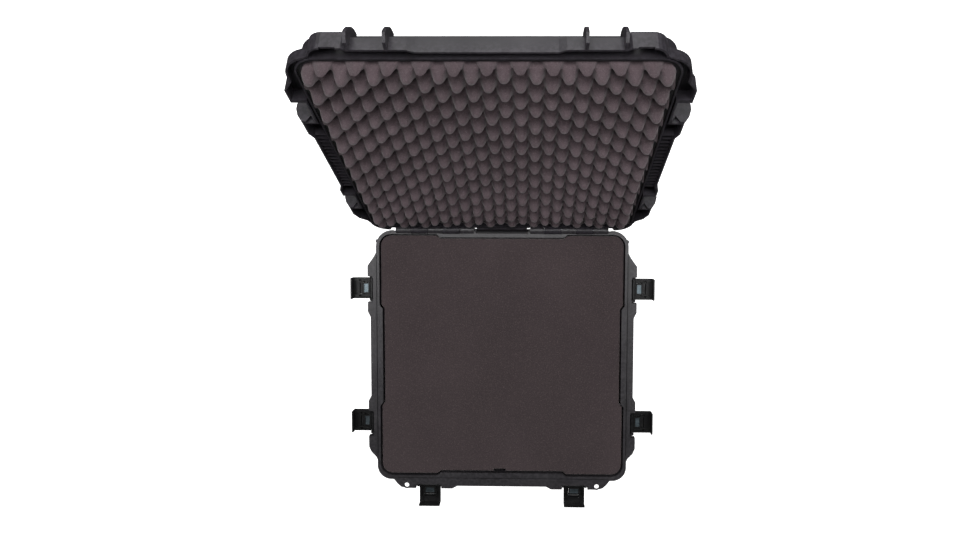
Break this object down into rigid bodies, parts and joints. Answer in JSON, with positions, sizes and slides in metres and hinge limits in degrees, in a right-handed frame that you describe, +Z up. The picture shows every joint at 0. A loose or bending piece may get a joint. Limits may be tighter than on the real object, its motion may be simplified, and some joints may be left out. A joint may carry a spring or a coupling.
{
  "type": "hard equipment case",
  "caption": "Square hard case shown open: foam-filled base, hinged lid with convoluted foam, six hinged latches with release triggers and three folding carry handles.",
  "frame": {"origin": "centre of the base's flat underside", "axes": "+X right, +Y towards the hinge, +Z up out of the base; the lid is open past upright at +Y"},
  "size_m": [0.7206, 0.9896, 0.8247],
  "materials": {
    "base_plastic": "satin",
    "lid_plastic": "satin",
    "latch_plastic": "satin",
    "trigger_plastic": "satin",
    "handle_plastic": "satin",
    "valve_plastic": "satin",
    "grip_rubber": "matte",
    "gasket_rubber": "matte",
    "steel": "satin",
    "leaf_spring": "satin",
    "base_foam": "matte",
    "lid_foam": "matte"
  },
  "bodies": {
    "base": {"base_shell": "base_plastic", "hinge_pins": "steel", "latch_pins": "steel", "handle_pins": "steel", "foam_bottom_layer": "base_foam", "foam_middle_layer": "base_foam", "foam_top_layer": "base_foam", "valve_body": "valve_plastic", "valve_cap": "valve_plastic"},
    "lid": {"lid_shell": "lid_plastic", "lid_gasket": "gasket_rubber", "lid_foam": "lid_foam"},
    "front_left_latch": {"latch_front_left": "latch_plastic", "trigger_pin_front_left": "steel"},
    "front_left_trigger": {"trigger_front_left": "trigger_plastic", "trigger_spring_front_left": "leaf_spring"},
    "front_right_latch": {"latch_front_right": "latch_plastic", "trigger_pin_front_right": "steel"},
    "front_right_trigger": {"trigger_front_right": "trigger_plastic", "trigger_spring_front_right": "leaf_spring"},
    "left_front_latch": {"latch_left_front": "latch_plastic", "trigger_pin_left_front": "steel"},
    "left_front_trigger": {"trigger_left_front": "trigger_plastic", "trigger_spring_left_front": "leaf_spring"},
    "left_rear_latch": {"latch_left_rear": "latch_plastic", "trigger_pin_left_rear": "steel"},
    "left_rear_trigger": {"trigger_left_rear": "trigger_plastic", "trigger_spring_left_rear": "leaf_spring"},
    "right_front_latch": {"latch_right_front": "latch_plastic", "trigger_pin_right_front": "steel"},
    "right_front_trigger": {"trigger_right_front": "trigger_plastic", "trigger_spring_right_front": "leaf_spring"},
    "right_rear_latch": {"latch_right_rear": "latch_plastic", "trigger_pin_right_rear": "steel"},
    "right_rear_trigger": {"trigger_right_rear": "trigger_plastic", "trigger_spring_right_rear": "leaf_spring"},
    "front_handle": {"handle_front": "handle_plastic", "grip_front": "grip_rubber"},
    "left_handle": {"handle_left": "handle_plastic", "grip_left": "grip_rubber"},
    "right_handle": {"handle_right": "handle_plastic", "grip_right": "grip_rubber"}
  },
  "joints": [
    {"name": "lid_hinge", "type": "hinge", "parent": "base", "child": "lid", "pos_m": [0, 0.2987, 0.262], "axis": [1, 0, 0], "range_deg": [0, 117.4]},
    {"name": "front_left_latch_hinge", "type": "hinge", "parent": "base", "child": "front_left_latch", "pos_m": [-0.175, -0.3205, 0.241], "axis": [-1, 0, 0], "range_deg": [0, 90]},
    {"name": "front_left_trigger_pull", "type": "hinge", "parent": "front_left_latch", "child": "front_left_trigger", "pos_m": [-0.175, -0.3465, 0.236], "axis": [-1, 0, 0], "range_deg": [0, 12], "stiffness_Nm_per_rad": 0.05, "springref_deg": -11.46},
    {"name": "front_right_latch_hinge", "type": "hinge", "parent": "base", "child": "front_right_latch", "pos_m": [0.175, -0.3205, 0.241], "axis": [-1, 0, 0], "range_deg": [0, 90]},
    {"name": "front_right_trigger_pull", "type": "hinge", "parent": "front_right_latch", "child": "front_right_trigger", "pos_m": [0.175, -0.3465, 0.236], "axis": [-1, 0, 0], "range_deg": [0, 12], "stiffness_Nm_per_rad": 0.05, "springref_deg": -11.46},
    {"name": "left_front_latch_hinge", "type": "hinge", "parent": "base", "child": "left_front_latch", "pos_m": [-0.3118, -0.164, 0.241], "axis": [0, 1, 0], "range_deg": [0, 90]},
    {"name": "left_front_trigger_pull", "type": "hinge", "parent": "left_front_latch", "child": "left_front_trigger", "pos_m": [-0.3378, -0.164, 0.236], "axis": [0, 1, 0], "range_deg": [0, 12], "stiffness_Nm_per_rad": 0.05, "springref_deg": -11.46},
    {"name": "left_rear_latch_hinge", "type": "hinge", "parent": "base", "child": "left_rear_latch", "pos_m": [-0.3118, 0.158, 0.241], "axis": [0, 1, 0], "range_deg": [0, 90]},
    {"name": "left_rear_trigger_pull", "type": "hinge", "parent": "left_rear_latch", "child": "left_rear_trigger", "pos_m": [-0.3378, 0.158, 0.236], "axis": [0, 1, 0], "range_deg": [0, 12], "stiffness_Nm_per_rad": 0.05, "springref_deg": -11.46},
    {"name": "right_front_latch_hinge", "type": "hinge", "parent": "base", "child": "right_front_latch", "pos_m": [0.3118, -0.164, 0.241], "axis": [0, -1, 0], "range_deg": [0, 90]},
    {"name": "right_front_trigger_pull", "type": "hinge", "parent": "right_front_latch", "child": "right_front_trigger", "pos_m": [0.3378, -0.164, 0.236], "axis": [0, -1, 0], "range_deg": [0, 12], "stiffness_Nm_per_rad": 0.05, "springref_deg": -11.46},
    {"name": "right_rear_latch_hinge", "type": "hinge", "parent": "base", "child": "right_rear_latch", "pos_m": [0.3118, 0.158, 0.241], "axis": [0, -1, 0], "range_deg": [0, 90]},
    {"name": "right_rear_trigger_pull", "type": "hinge", "parent": "right_rear_latch", "child": "right_rear_trigger", "pos_m": [0.3378, 0.158, 0.236], "axis": [0, -1, 0], "range_deg": [0, 12], "stiffness_Nm_per_rad": 0.05, "springref_deg": -11.46},
    {"name": "front_handle_hinge", "type": "hinge", "parent": "base", "child": "front_handle", "pos_m": [0, -0.299, 0.214], "axis": [-1, 0, 0], "range_deg": [0, 90]},
    {"name": "left_handle_hinge", "type": "hinge", "parent": "base", "child": "left_handle", "pos_m": [-0.299, 0, 0.214], "axis": [0, 1, 0], "range_deg": [0, 90]},
    {"name": "right_handle_hinge", "type": "hinge", "parent": "base", "child": "right_handle", "pos_m": [0.299, 0, 0.214], "axis": [0, -1, 0], "range_deg": [0, 90]}
  ]
}
